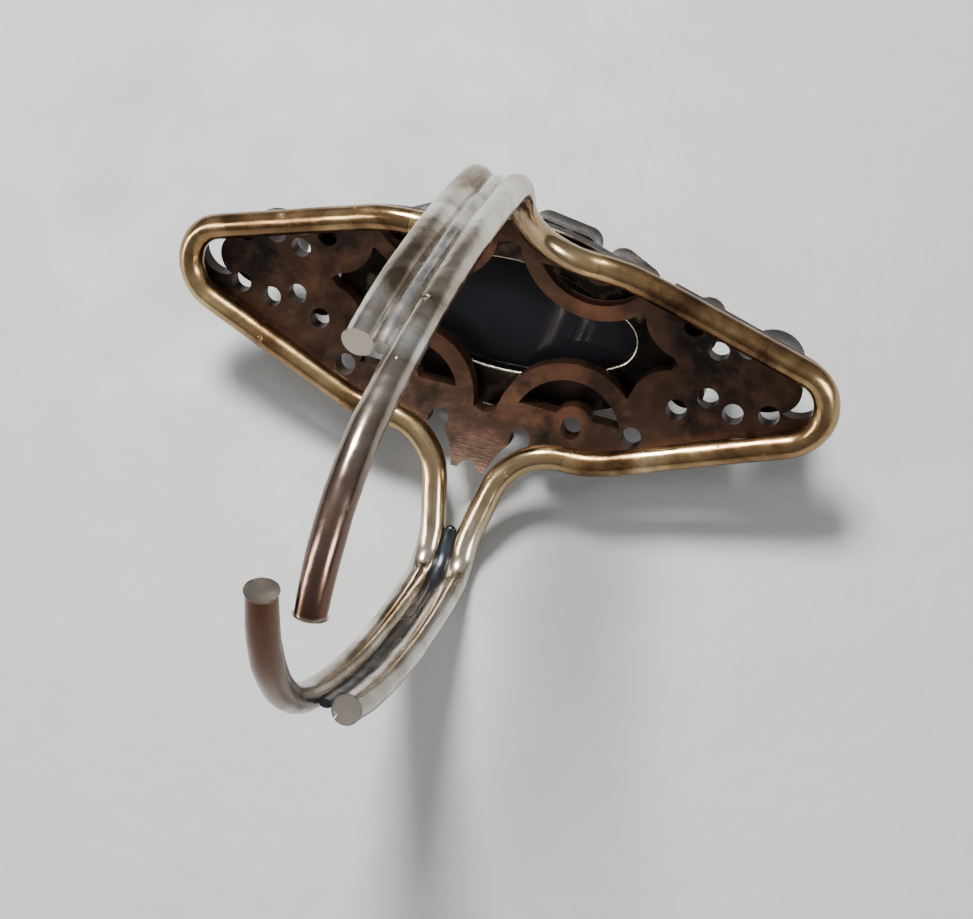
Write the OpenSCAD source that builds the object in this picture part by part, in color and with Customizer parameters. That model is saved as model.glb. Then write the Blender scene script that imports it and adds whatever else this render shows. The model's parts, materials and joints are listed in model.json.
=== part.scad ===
// Openwork cocktail ring: a pierced, curved back plate framed by round wire, a tray with an oval
// stone and smaller stones in front of it, and an open two-wire shank that bends to fit a finger.
// The ring lies on its side, as it is put down on a table. The pieces are drawn in the head's own
// frame: X along the head, Y across it, Z towards the finger, and Z = 0 at the two shank pivots.

/* [Wire] */
// Diameter of the round wire
wire_d = 1.05; // [0.9:0.05:1.2]
// Gap between the two wires of the shank
lane_gap = 0.44; // [0.3:0.02:0.6]

/* [Head] */
// Length of the head over its frame wire
head_length = 28; // [27:0.5:34]
// Radius of the frame wire's bend at each tip
tip_r = 1.7; // [1.5:0.1:2]
// Slope of the frame wire's straight sides
side_slope = 20.6; // [19:0.1:22]
// Fall of the frame wire from the sides to the tips
rim_tilt = 22.5; // [20:0.5:25]
// Radius where the frame wire turns from the pivots to its sides
hip_r = 5.6; // [5:0.2:6.2]
// Distance that the pierced pattern and the front sit off the frame's middle
head_shift = 0.3; // [0:0.1:0.3]

/* [Back plate] */
// Inside radius that the plate is curved to
plate_r = 8.4; // [8:0.1:10]
// Thickness of the plate
plate_t = 0.65; // [0.5:0.05:0.8]
// Width of plate outside the frame wire's middle line
plate_edge = 0.15; // [0.05:0.05:0.2]
// Reach of the plate's two tongues between the shoulders
tongue_y = 5.6; // [5:0.1:5.8]
// Diameter of the drilled holes
hole_d = 0.85; // [0.6:0.05:0.9]
// Radius of the scalloped arches
arch_r = 3.06; // [3:0.02:3.1]
// Width of the metal of an arch
arch_w = 0.7; // [0.5:0.05:0.8]

/* [Front] */
// Half length of the tray
tray_a = 7.3; // [6.8:0.1:7.4]
// Half width of the tray
tray_b = 4.2; // [4:0.1:4.4]
// Thickness of the tray
tray_t = 0.55; // [0.4:0.05:0.7]
// Width of the tray between its edge and the oval setting
tray_ledge = 1.3; // [1.2:0.05:1.4]
// Height of the oval setting's wall
bezel_h = 2.3; // [1.6:0.1:3]
// Thickness of every setting's wall
bezel_t = 0.25; // [0.2:0.05:0.3]
// Height of the oval stone above its wall
stone_rise = 1.6; // [1.2:0.1:2.4]
// Height of the oval settings on the tray
petal_h = 1.4; // [0.8:0.05:1.6]
// Outside radius of the round settings at the tips
tip_cup_r = 1.3; // [1.1:0.05:1.35]
// Outside radius of the small round settings
small_cup_r = 0.7; // [0.6:0.05:0.75]
// Half length of the large oval settings on the tray
large_petal = 1.5; // [1.3:0.05:1.55]
// Half length of the medium oval settings on the tray
medium_petal = 1.2; // [1.1:0.05:1.3]

/* [Lower arm] */
// Radius of the lower arm's bend out of the frame
lower_shoulder_r = 2.7; // [2.5:0.1:3.2]
// Angle of that bend
lower_turn = 78; // [72:1:86]
// Straight length between the lower shoulder and elbow
lower_run = 2.1; // [1.6:0.1:2.6]
// Rise of the lower shoulder above the head
lower_rise = 22; // [20:0.5:30]
// Radius of the lower elbow
lower_elbow_r = 2.4; // [2:0.05:3]
// Radius of the lower arm's side
lower_side_r = 28; // [20:1:34]
// Direction of the wire where the lower side meets its top bend
lower_side_end = 115; // [112:0.5:118]
// Radius of the lower arm's top bend
lower_top_r = 10.5; // [9.5:0.1:12.4]
// Direction in which the lower long wire ends
lower_long_end = 170; // [160:1:175]
// Direction in which the lower short wire ends
lower_short_end = 120; // [117:1:125]

/* [Upper arm] */
// Straight length between the upper shoulder and elbow
upper_run = 0.1; // [0.05:0.05:0.5]
// Rise of the upper shoulder above the head
upper_rise = 37; // [32:0.5:44]
// Radius of the upper elbow
upper_elbow_r = 2.45; // [2:0.05:3]
// Radius of the upper arm's side
upper_side_r = 38; // [30:1:46]
// Direction of the wire where the upper side meets its top bend
upper_side_end = 111; // [109:0.5:114]
// Radius of the upper arm's top bend
upper_top_r = 6.4; // [5.8:0.1:7.6]
// Direction in which the upper long wire ends
upper_long_end = 170; // [160:1:175]
// Direction in which the upper short wire ends
upper_short_end = 107.5; // [100:0.5:108]

/* [Rest] */
// Turn about X that lays the ring on its side
lie_angle = 48.8; // [46:0.1:54]
// Distance that the pivots lie behind the origin
lie_back = 5.74; // [5:0.01:7]

/* [Hidden] */
$fn = 48;
slack = 0.02;             // gap left between neighbouring pieces
bead = 0.01;              // how far the bead over each joint in a wire stands out
reach = 40;               // longer than any piece
wire_r = wire_d / 2;
lane = wire_r + lane_gap / 2;
pivot_x = lane + lower_shoulder_r * sin(lower_turn) + lower_run * cos(lower_turn);

// Frame wire: a hip bend and a straight side in a tilted plane, then a bend round the tip
side_dir = [cos(side_slope), -sin(side_slope) * cos(rim_tilt), -sin(side_slope) * sin(rim_tilt)];
tip_tilt = atan(-side_dir.z / side_dir.x);
tip_slope = asin(-side_dir.y);
tip_x = head_length / 2 - wire_r;
tip_centre_x = tip_x - tip_r * cos(tip_tilt);
side_x1 = tip_centre_x + tip_r * sin(tip_slope) * cos(tip_tilt);
side_x0 = pivot_x + slack + hip_r * sin(side_slope);
side_len = (side_x1 - side_x0) / side_dir.x;
hip_drop = hip_r * (1 - cos(side_slope));
fall = hip_drop + side_len * sin(side_slope);
rim_y = tip_r * cos(tip_slope) + fall * cos(rim_tilt);
tip_z = -fall * sin(rim_tilt) + tip_r * sin(tip_slope) * sin(tip_tilt);

// Plate: a sheet curved about the finger's axis, which the frame wire lies against
axis_z = sqrt(pow(plate_r - wire_r - slack, 2) - rim_y * rim_y);
plate_front_z = axis_z - plate_r - plate_t;
plan_slope = atan(-side_dir.y / side_dir.x);
plan_hip_r = hip_r * sin(side_slope) / sin(plan_slope);
tongue_gap = 0.08;        // gap between a tongue and the shoulder wires in plan
arc_steps = 10;           // steps in each arc of the plate's outline
nick_r = 0.45;            // nick in the end of each tongue
nick_y = 0.15;            // distance of the nick's centre beyond the tongue
hole_marks = [[7.71, 1.85], [8.84, 1.06], [9.95, 1.45], [11.35, 1.15], [1.77, 4.5], [6.2, 3.4]];
hump_mark = [3.72, 3.59];
hump_r = 0.85;            // metal left round the hole in each half moon
arch_mark = [3.5, 4.11];
lobe_mark = [7.54, 2.07];
lobe_r = 1.82;
cusps = [[0, 3.84], [5.65, 1.93], [7.41, 0]];
moon_y = 3.15;            // outer edge of the half-moon openings
crescent_r = 1.0;         // opening inside each tip
crescent_x = 0.45;        // distance from a tip bend's centre to the crescent's centre
crescent_step = 0.85;     // distance that the crescent's two circles are apart

// Front: ovals of four arcs, each a step inside the last
tray_end_r = 2.9;
tray_z = plate_front_z - slack;
bed_z = tray_z - tray_t;
bezel_z = bed_z - slack;
eye_step = tray_ledge + 0.5;
stone_step = tray_ledge + bezel_t + slack;
petal_w = tray_ledge - 2 * slack;
petal_step = tray_ledge / 2;
large_x = 1.62;
medium_x = 4.6;
dome_part = 0.55;         // height of a small stone's dome, as part of its half width
small_at = [7.9, 1.25];
small_h = 2;           // height of a small round setting beyond the tray's front
tip_cup_x = 10.9;
tip_h = 1.9;             // height of a tip's setting beyond the tray's front

// Each arm's path, in its own plane as [out, up] from the pivot: shoulder radius, turn and run,
// rise, elbow radius, side radius, direction where the side ends, and top radius
lower_arm = [lower_shoulder_r, lower_turn, lower_run, lower_rise, lower_elbow_r, lower_side_r,
             lower_side_end, lower_top_r];
upper_arm = [pivot_x - lane, 90, upper_run, upper_rise, upper_elbow_r, upper_side_r,
             upper_side_end, upper_top_r];
solder_w = lane_gap - 2 * slack;
solder_h = 0.5;           // depth of the solder in the shank's groove

// Height of the pivots over the surface that the lower elbow rests on
elbow_centre = elbow_at(lower_arm) + lower_elbow_r * [-sin(lower_rise), cos(lower_rise)];
lie_lift = lower_elbow_r + wire_r + sin(lie_angle) * (rim_y + elbow_centre.x)
           - cos(lie_angle) * elbow_centre.y;

function elbow_at(a) = (a[0] * (1 - cos(a[1])) + a[2] * sin(a[1])) * [cos(a[3]), sin(a[3])];
function side_at(a) = turn(elbow_at(a), a[4], a[3], 90);
function top_at(a) = turn(side_at(a), a[5], 90, a[6]);
function turn(p, r, a, b) = p + r * [sin(b) - sin(a), cos(a) - cos(b)];
function arc_c(step) = let (a = tray_a - step, b = tray_b - step, r = tray_end_r - step)
    (pow(a - r, 2) - pow(b - r, 2)) / (2 * (b - r));
function oval_y(x, step) = let (r = arc_c(step) + tray_b - step) sqrt(r * r - x * x) - arc_c(step);
function arc(c, r, a, b) = [for (i = [0:arc_steps]) let (t = a + (b - a) * i / arc_steps)
    c + r * [cos(t), sin(t)]];
function flipped(p, s) = [for (i = [len(p) - 1:-1:0]) if (abs(p[i].x) > slack * (1 - s.x)
    && abs(p[i].y) > slack * (1 - s.y)) [s.x * p[i].x, s.y * p[i].y]];
function oval_lean(x, step) = asin(x / (arc_c(step) + tray_b - step));

module lay() translate([0, lie_back, lie_lift]) rotate([lie_angle, 0, 0]) children();
module off_middle() translate([0, head_shift, 0]) children();
module both() for (s = [-1, 1]) mirror([0, s < 0 ? 1 : 0, 0]) children();
module four_ways() for (x = [0, 1], y = [0, 1]) mirror([x, 0]) mirror([0, y]) children();
module disc(p, r) translate(p) circle(r);

// Outline of four tangent arcs, a step inside the tray's own
module oval(step) {
    a = tray_a - step;
    b = tray_b - step;
    r = tray_end_r - step;
    c = arc_c(step);
    k = (c + b) / (c + b - r);
    for (s = [-1, 1]) disc([s * (a - r), 0], r);
    intersection() {
        disc([0, -c], c + b);
        disc([0, c], c + b);
        square([2 * (a - r) * k, 2 * b], center = true);
    }
}

// Outline of the back plate with its two tongues, drawn as one quarter and its mirror images
module plate_outline() {
    shoulder_y = rim_y + lower_shoulder_r * cos(lower_rise);
    side_gap_r = lower_shoulder_r + wire_r + tongue_gap;
    edge_y = rim_y + plate_edge;
    quarter = concat(
        arc([0, tongue_y + nick_y], nick_r, -90, -asin(nick_y / nick_r)),
        arc([pivot_x, shoulder_y], side_gap_r, 180 + asin((shoulder_y - tongue_y) / side_gap_r),
            180 + asin((shoulder_y - edge_y) / side_gap_r)),
        arc([pivot_x, rim_y - plan_hip_r], plan_hip_r + plate_edge, 90, 90 - plan_slope),
        arc([tip_centre_x, 0], tip_r + plate_edge, 90 - plan_slope, 0));
    half = concat(quarter, flipped(quarter, [1, -1]));
    polygon(concat(half, flipped(half, [-1, 1])));
}

// Openings of the back plate
module plate_openings() {
    four_ways() {
        for (m = hole_marks) disc(m, hole_d / 2);
        disc(hump_mark, hole_d / 2);
        difference() {
            polygon([[0, 0], cusps[0], cusps[1], cusps[2]]);
            disc(arch_mark, arch_r);
            disc(lobe_mark, lobe_r);
        }
        intersection() {
            disc(arch_mark, arch_r - arch_w);
            difference() {
                square([2 * arch_mark.x, moon_y]);
                disc(hump_mark, hump_r);
            }
        }
    }
    for (s = [0, 1]) mirror([s, 0]) translate([tip_centre_x + crescent_x, 0]) difference() {
        circle(crescent_r);
        disc([-crescent_step, 0], crescent_r);
    }
}

module back_plate() color("#4a3222") lay() intersection() {
    translate([0, 0, axis_z]) rotate([0, 90, 0]) difference() {
        cylinder(h = reach, r = plate_r + plate_t, center = true, $fn = 144);
        cylinder(h = 2 * reach, r = plate_r, center = true, $fn = 144);
    }
    translate([0, 0, -reach / 2]) linear_extrude(reach / 2 + axis_z / 2) difference() {
        plate_outline();
        off_middle() plate_openings();
    }
}

// Half of the frame: two sides and the bend round one tip
module frame_wire() {
    both() translate([pivot_x + slack, rim_y, 0]) rotate([rim_tilt, 0, 0]) {
        translate([0, -hip_r, 0]) rotate([0, 0, 90 - side_slope])
            rotate_extrude(angle = side_slope) translate([hip_r, 0]) circle(wire_r);
        translate([hip_r * sin(side_slope), -hip_drop, 0]) rotate([0, 90, -side_slope]) {
            cylinder(h = side_len, r = wire_r);
            for (z = [0, side_len]) translate([0, 0, z]) sphere(wire_r + bead);
        }
    }
    translate([tip_centre_x, 0, tip_z]) rotate([0, tip_tilt, 0]) rotate([0, 0, tip_slope - 90])
        rotate_extrude(angle = 180 - 2 * tip_slope) translate([tip_r, 0]) circle(wire_r);
}

module left_frame_wire() color("#a08a5a") lay() mirror([1, 0, 0]) frame_wire();
module right_frame_wire() color("#a08a5a") lay() frame_wire();

// Bend in the shank's plane, from direction a to direction b, with the section as children
module bend(p, r, a, b)
    translate([0, p.x - r * sin(a), p.y + r * cos(a)]) rotate([90, 0, 90]) rotate([0, 0, a - 90])
        rotate_extrude(angle = b - a) translate([r, 0]) children();

// The run of an arm from its elbow to a direction, with the section as children
module arm_run(a, end) {
    bend(elbow_at(a), a[4], a[3], 90) children();
    bend(side_at(a), a[5], 90, min(end, a[6])) children();
    if (end > a[6]) bend(top_at(a), a[7], a[6], end) children();
}

// One wire of an arm, drawn on the upper right, from its pivot to its end
module arm_wire(a, end) translate([0, rim_y, 0]) {
    translate([pivot_x, 0, 0]) rotate([a[3], 0, 0]) translate([0, a[0], 0]) {
        rotate([0, 0, 270 - a[1]])
            rotate_extrude(angle = a[1]) translate([a[0], 0]) circle(wire_r);
        translate([-a[0] * sin(a[1]), -a[0] * cos(a[1]), 0]) rotate([-90, 0, 90 - a[1]]) {
            cylinder(h = a[2], r = wire_r);
            for (z = [0, a[2]]) translate([0, 0, z]) sphere(wire_r + bead);
        }
    }
    translate([lane, 0, 0]) {
        arm_run(a, end) circle(wire_r);
        for (p = [side_at(a), if (end > a[6]) top_at(a)])
            translate([0, p.x, p.y]) sphere(wire_r + bead);
    }
}

// Solder in the groove between an arm's two wires
module groove_solder(a, end) translate([0, rim_y, 0]) {
    arm_run(a, end) square([solder_h, solder_w], center = true);
    for (p = [side_at(a), if (end > a[6]) top_at(a)])
        translate([0, p.x, p.y]) rotate([0, 90, 0])
            cylinder(h = solder_w - 2 * bead, r = solder_h / 2 + bead, center = true);
}

module upper_long_wire() color("#c9c6bd") lay() arm_wire(upper_arm, upper_long_end);
module upper_short_wire() color("#c9c6bd")
    lay() mirror([1, 0, 0]) arm_wire(upper_arm, upper_short_end);
module lower_long_wire() color("#8a7a68")
    lay() mirror([0, 1, 0]) mirror([1, 0, 0]) arm_wire(lower_arm, lower_long_end);
module lower_short_wire() color("#8a7a68") lay() mirror([0, 1, 0]) arm_wire(lower_arm, lower_short_end);
module upper_solder() color("#5a5a5e") lay() groove_solder(upper_arm, upper_short_end);
module lower_solder() color("#2c3138")
    lay() mirror([0, 1, 0]) groove_solder(lower_arm, lower_short_end);

module stone_tray() color("#2a221d") lay() off_middle() translate([0, 0, bed_z])
    linear_extrude(tray_t) difference() {
        oval(0);
        oval(eye_step);
    }

module centre_bezel() color("#3a332b") lay() off_middle() translate([0, 0, bezel_z - bezel_h])
    linear_extrude(bezel_h) difference() {
        oval(tray_ledge);
        oval(tray_ledge + bezel_t);
    }

module centre_stone() color("#0a0a0c") lay() off_middle() translate([0, 0, bezel_z])
    intersection() {
        a = tray_a - stone_step;
        b = tray_b - stone_step;
        crown_a = (a * a + stone_rise * stone_rise) / (2 * stone_rise);
        crown_b = (b * b + stone_rise * stone_rise) / (2 * stone_rise);
        top = bezel_h + stone_rise;
        translate([0, 0, -top]) linear_extrude(top) oval(stone_step);
        translate([0, 0, crown_b - top]) rotate([0, 90, 0])
            cylinder(h = reach, r = crown_b, center = true, $fn = 96);
        translate([0, 0, crown_a - top]) rotate([90, 0, 0])
            cylinder(h = reach, r = crown_a, center = true, $fn = 192);
    }

// Round-ended outline of half length a and width w
module capsule(a, w) {
    for (s = [-1, 1]) disc([s * (a - w / 2), 0], w / 2);
    square([2 * a - w, w], center = true);
}

// Wall of an oval setting that follows the tray's edge at x
module petal_wall(x, a) translate([x, oval_y(x, petal_step), bezel_z - petal_h])
    rotate([0, 0, -oval_lean(x, petal_step)]) linear_extrude(petal_h) difference() {
        capsule(a, petal_w);
        capsule(a - bezel_t, petal_w - 2 * bezel_t);
    }

// Stone of an oval setting: a capsule with a rounded top
module petal_stone(x, a) translate([x, oval_y(x, petal_step), bezel_z])
    rotate([0, 0, -oval_lean(x, petal_step)]) intersection() {
        w = petal_w - 2 * (bezel_t + slack);
        dome = dome_part * w / 2;
        top = petal_h + dome;
        r = (w * w / 4 + dome * dome) / (2 * dome);
        translate([0, 0, -top]) linear_extrude(top) capsule(a - bezel_t - slack, w);
        union() {
            translate([0, 0, r - top]) rotate([0, 90, 0])
                cylinder(h = 2 * a - w - 2 * bezel_t, r = r, center = true);
            for (s = [-1, 1]) translate([s * (a - bezel_t - w / 2), 0, r - top]) sphere(r);
            translate([0, 0, -petal_h / 2]) cube([4 * a, 2 * petal_w, petal_h], center = true);
        }
    }

// Wall of a round setting that stands on the plate's front
module cup_wall(p, r, h) difference() {
    translate([p.x, p.y, bed_z - h]) cylinder(h = h + bed_lift(p), r = r);
    translate([p.x, p.y, bed_z - 2 * h]) cylinder(h = reach, r = r - bezel_t);
    translate([0, -head_shift, axis_z]) rotate([0, 90, 0])
        cylinder(h = reach, r = plate_r + plate_t + slack, center = true, $fn = 144);
}

// Stone of a round setting: a drum with a rounded top
module cup_stone(p, r, h) translate([p.x, p.y, bed_z - h]) {
    in_r = r - bezel_t - slack;
    dome = dome_part * in_r;
    crown = (in_r * in_r + dome * dome) / (2 * dome);
    cylinder(h = h, r = in_r);
    intersection() {
        translate([0, 0, crown - dome]) sphere(crown);
        translate([0, 0, -dome]) cylinder(h = dome, r = in_r);
    }
}

function bed_lift(p) = 1.5 * tray_t + p.y * p.y / plate_r;

module large_upper_left_bezel() color("#3a332b")
    lay() off_middle() mirror([1, 0, 0]) petal_wall(large_x, large_petal);
module large_upper_left_stone() color("#0a0a0c")
    lay() off_middle() mirror([1, 0, 0]) petal_stone(large_x, large_petal);
module large_upper_right_bezel() color("#3a332b")
    lay() off_middle() petal_wall(large_x, large_petal);
module large_upper_right_stone() color("#0a0a0c")
    lay() off_middle() petal_stone(large_x, large_petal);
module large_lower_left_bezel() color("#3a332b")
    lay() off_middle() mirror([1, 0, 0]) mirror([0, 1, 0]) petal_wall(large_x, large_petal);
module large_lower_left_stone() color("#0a0a0c")
    lay() off_middle() mirror([1, 0, 0]) mirror([0, 1, 0]) petal_stone(large_x, large_petal);
module large_lower_right_bezel() color("#3a332b")
    lay() off_middle() mirror([0, 1, 0]) petal_wall(large_x, large_petal);
module large_lower_right_stone() color("#0a0a0c")
    lay() off_middle() mirror([0, 1, 0]) petal_stone(large_x, large_petal);
module medium_upper_left_bezel() color("#3a332b")
    lay() off_middle() mirror([1, 0, 0]) petal_wall(medium_x, medium_petal);
module medium_upper_left_stone() color("#0a0a0c")
    lay() off_middle() mirror([1, 0, 0]) petal_stone(medium_x, medium_petal);
module medium_upper_right_bezel() color("#3a332b")
    lay() off_middle() petal_wall(medium_x, medium_petal);
module medium_upper_right_stone() color("#0a0a0c")
    lay() off_middle() petal_stone(medium_x, medium_petal);
module medium_lower_left_bezel() color("#3a332b")
    lay() off_middle() mirror([1, 0, 0]) mirror([0, 1, 0]) petal_wall(medium_x, medium_petal);
module medium_lower_left_stone() color("#0a0a0c")
    lay() off_middle() mirror([1, 0, 0]) mirror([0, 1, 0]) petal_stone(medium_x, medium_petal);
module medium_lower_right_bezel() color("#3a332b")
    lay() off_middle() mirror([0, 1, 0]) petal_wall(medium_x, medium_petal);
module medium_lower_right_stone() color("#0a0a0c")
    lay() off_middle() mirror([0, 1, 0]) petal_stone(medium_x, medium_petal);
module small_upper_left_bezel() color("#3a332b")
    lay() off_middle() mirror([1, 0, 0]) cup_wall(small_at, small_cup_r, small_h);
module small_upper_left_stone() color("#0a0a0c")
    lay() off_middle() mirror([1, 0, 0]) cup_stone(small_at, small_cup_r, small_h);
module small_upper_right_bezel() color("#3a332b")
    lay() off_middle() cup_wall(small_at, small_cup_r, small_h);
module small_upper_right_stone() color("#0a0a0c")
    lay() off_middle() cup_stone(small_at, small_cup_r, small_h);
module small_lower_left_bezel() color("#3a332b")
    lay() off_middle() mirror([1, 0, 0]) cup_wall([small_at.x, -small_at.y], small_cup_r, small_h);
module small_lower_left_stone() color("#0a0a0c")
    lay() off_middle() mirror([1, 0, 0]) cup_stone([small_at.x, -small_at.y], small_cup_r, small_h);
module small_lower_right_bezel() color("#3a332b")
    lay() off_middle() cup_wall([small_at.x, -small_at.y], small_cup_r, small_h);
module small_lower_right_stone() color("#0a0a0c")
    lay() off_middle() cup_stone([small_at.x, -small_at.y], small_cup_r, small_h);
module tip_left_bezel() color("#3a332b")
    lay() off_middle() mirror([1, 0, 0]) cup_wall([tip_cup_x, 0], tip_cup_r, tip_h);
module tip_left_stone() color("#0a0a0c")
    lay() off_middle() mirror([1, 0, 0]) cup_stone([tip_cup_x, 0], tip_cup_r, tip_h);
module tip_right_bezel() color("#3a332b")
    lay() off_middle() cup_wall([tip_cup_x, 0], tip_cup_r, tip_h);
module tip_right_stone() color("#0a0a0c")
    lay() off_middle() cup_stone([tip_cup_x, 0], tip_cup_r, tip_h);

back_plate();
left_frame_wire();
right_frame_wire();
upper_long_wire();
upper_short_wire();
lower_long_wire();
lower_short_wire();
upper_solder();
lower_solder();
stone_tray();
centre_bezel();
centre_stone();
large_upper_left_bezel();
large_upper_left_stone();
large_upper_right_bezel();
large_upper_right_stone();
large_lower_left_bezel();
large_lower_left_stone();
large_lower_right_bezel();
large_lower_right_stone();
medium_upper_left_bezel();
medium_upper_left_stone();
medium_upper_right_bezel();
medium_upper_right_stone();
medium_lower_left_bezel();
medium_lower_left_stone();
medium_lower_right_bezel();
medium_lower_right_stone();
small_upper_left_bezel();
small_upper_left_stone();
small_upper_right_bezel();
small_upper_right_stone();
small_lower_left_bezel();
small_lower_left_stone();
small_lower_right_bezel();
small_lower_right_stone();
tip_left_bezel();
tip_left_stone();
tip_right_bezel();
tip_right_stone();
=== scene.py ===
import json
from math import acos, asin, atan, atan2, cos, degrees, pi, radians, sin, sqrt, tan

import bmesh
import bpy
from bpy.props import FloatProperty, FloatVectorProperty, PointerProperty
from mathutils import Matrix, Vector, noise


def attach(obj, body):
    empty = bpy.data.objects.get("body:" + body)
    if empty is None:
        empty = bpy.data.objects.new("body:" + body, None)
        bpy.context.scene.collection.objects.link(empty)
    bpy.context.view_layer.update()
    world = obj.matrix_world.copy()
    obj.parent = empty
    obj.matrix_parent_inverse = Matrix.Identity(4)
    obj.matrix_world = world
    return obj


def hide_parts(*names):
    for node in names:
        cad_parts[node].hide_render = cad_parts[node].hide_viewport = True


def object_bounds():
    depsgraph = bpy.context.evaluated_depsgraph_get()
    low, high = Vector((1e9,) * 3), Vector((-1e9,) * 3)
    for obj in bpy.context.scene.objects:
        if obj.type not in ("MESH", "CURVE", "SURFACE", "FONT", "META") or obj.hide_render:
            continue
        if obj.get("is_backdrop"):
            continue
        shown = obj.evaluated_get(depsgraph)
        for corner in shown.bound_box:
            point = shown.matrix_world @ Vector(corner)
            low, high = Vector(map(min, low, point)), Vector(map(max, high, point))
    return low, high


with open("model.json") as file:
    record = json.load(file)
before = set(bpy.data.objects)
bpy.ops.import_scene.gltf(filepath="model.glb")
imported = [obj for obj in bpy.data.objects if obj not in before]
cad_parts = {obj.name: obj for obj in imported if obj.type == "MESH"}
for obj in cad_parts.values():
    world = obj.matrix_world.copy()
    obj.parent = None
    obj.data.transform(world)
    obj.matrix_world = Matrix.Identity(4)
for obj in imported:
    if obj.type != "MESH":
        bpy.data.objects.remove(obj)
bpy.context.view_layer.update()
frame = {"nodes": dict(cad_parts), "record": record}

bl_info = {
    "name": "Openwork Cocktail Ring",
    "version": (1, 0, 0),
    "blender": (4, 5, 0),
    "location": "3D View > Sidebar > Ring",
    "description": "Builds an openwork ring head and its open two-wire shank",
    "category": "Add Mesh",
}

MM = 0.001
SLACK = 0.02          # gap between neighbouring pieces, mm
WELD = 2e-6           # distance at which a CAD copy's loose corners are joined, m
FLAT = 0.6            # angle under which its neighbouring triangles are one face, degrees
RADIAL = 0.94         # how far a face of the plate may lean and still be on its curve
EDGE = "wire_run"     # distance along a wire, kept on its vertices
CUT = "wire_cut"      # 1 on a wire's cut end


# ---------------------------------------------------------------- sizes and colours

def length(name, text, default, low, high):
    return FloatProperty(name=name, description=text, default=default, min=low, max=high)


def colour(name, text, default):
    return FloatVectorProperty(name=name, description=text, default=default, size=3,
                               subtype="COLOR", min=0.0, max=1.0)


class RING_PG_sizes(bpy.types.PropertyGroup):
    """Sizes of the ring in millimetres and degrees"""
    wire_d: length("Wire", "Diameter of the round wire, mm", 1.05, 0.8, 1.3)
    lane_gap: length("Lane gap", "Gap between the shank's two wires, mm", 0.44, 0.2, 0.8)
    head_length: length("Head", "Length of the head over its frame wire, mm", 28.0, 24.0, 34.0)
    tip_r: length("Tip bend", "Radius of the frame wire at each tip, mm", 1.7, 1.2, 2.4)
    hip_r: length("Hip bend", "Radius from the pivots to the sides, mm", 5.6, 4.0, 7.0)
    side_slope: length("Side slope", "Slope of the frame's sides, degrees", 20.6, 15.0, 25.0)
    rim_tilt: length("Rim tilt", "Fall of the frame towards its tips, degrees", 22.5, 15.0, 30.0)
    head_shift: length("Head shift", "Offset of the front from the middle, mm", 0.3, 0.0, 0.5)
    plate_r: length("Plate curve", "Inside radius of the plate, mm", 8.4, 7.0, 12.0)
    plate_t: length("Plate", "Thickness of the plate, mm", 0.65, 0.4, 1.0)
    tray_a: length("Tray length", "Half length of the tray, mm", 7.3, 6.0, 9.0)
    tray_b: length("Tray width", "Half width of the tray, mm", 4.2, 3.5, 5.0)
    tray_end_r: length("Tray end", "Radius of the tray's ends, mm", 2.9, 2.0, 4.0)
    tray_t: length("Tray depth", "Thickness of the tray, mm", 0.55, 0.3, 0.9)
    tray_ledge: length("Ledge", "Width of the tray beside the oval setting, mm", 1.3, 1.0, 1.6)
    bezel_h: length("Oval wall", "Height of the oval setting's wall, mm", 2.3, 1.5, 3.5)
    bezel_t: length("Walls", "Thickness of the settings' walls, mm", 0.25, 0.15, 0.4)
    stone_rise: length("Oval dome", "Height of the oval stone above its wall, mm", 1.6, 1.0, 2.5)
    petal_h: length("Petals", "Height of the oval settings on the tray, mm", 1.4, 0.8, 1.6)
    dome_part: length("Domes", "Height of a small dome by its half width", 0.55, 0.3, 0.9)
    shoulder_r: length("Lower shoulder", "Radius of the lower shoulder, mm", 2.7, 2.0, 4.0)
    shoulder_turn: length("Lower turn", "Angle of the lower shoulder, degrees", 78.0, 60.0, 86.0)
    shoulder_run: length("Lower run", "Length from shoulder to elbow, mm", 2.1, 1.0, 4.0)
    lower_rise: length("Lower rise", "Rise of the lower shoulders, degrees", 22.0, 10.0, 40.0)
    lower_elbow_r: length("Lower elbow", "Radius of the lower elbow, mm", 2.4, 1.5, 4.0)
    lower_side_r: length("Lower side", "Radius of the lower arm's side, mm", 28.0, 15.0, 60.0)
    lower_side_end: length("Lower side end", "Direction, degrees", 115.0, 100.0, 125.0)
    lower_top_r: length("Lower top", "Radius of the lower top bend, mm", 10.5, 8.0, 14.0)
    upper_run: length("Upper run", "Length from shoulder to elbow, mm", 0.1, 0.05, 0.5)
    upper_rise: length("Upper rise", "Rise of the upper shoulders, degrees", 37.0, 30.0, 45.0)
    upper_elbow_r: length("Upper elbow", "Radius of the upper elbow, mm", 2.45, 1.5, 4.0)
    upper_side_r: length("Upper side", "Radius of the upper arm's side, mm", 38.0, 15.0, 60.0)
    upper_side_end: length("Upper side end", "Direction, degrees", 111.0, 100.0, 125.0)
    upper_top_r: length("Upper top", "Radius of the upper top bend, mm", 6.4, 5.0, 14.0)


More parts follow.
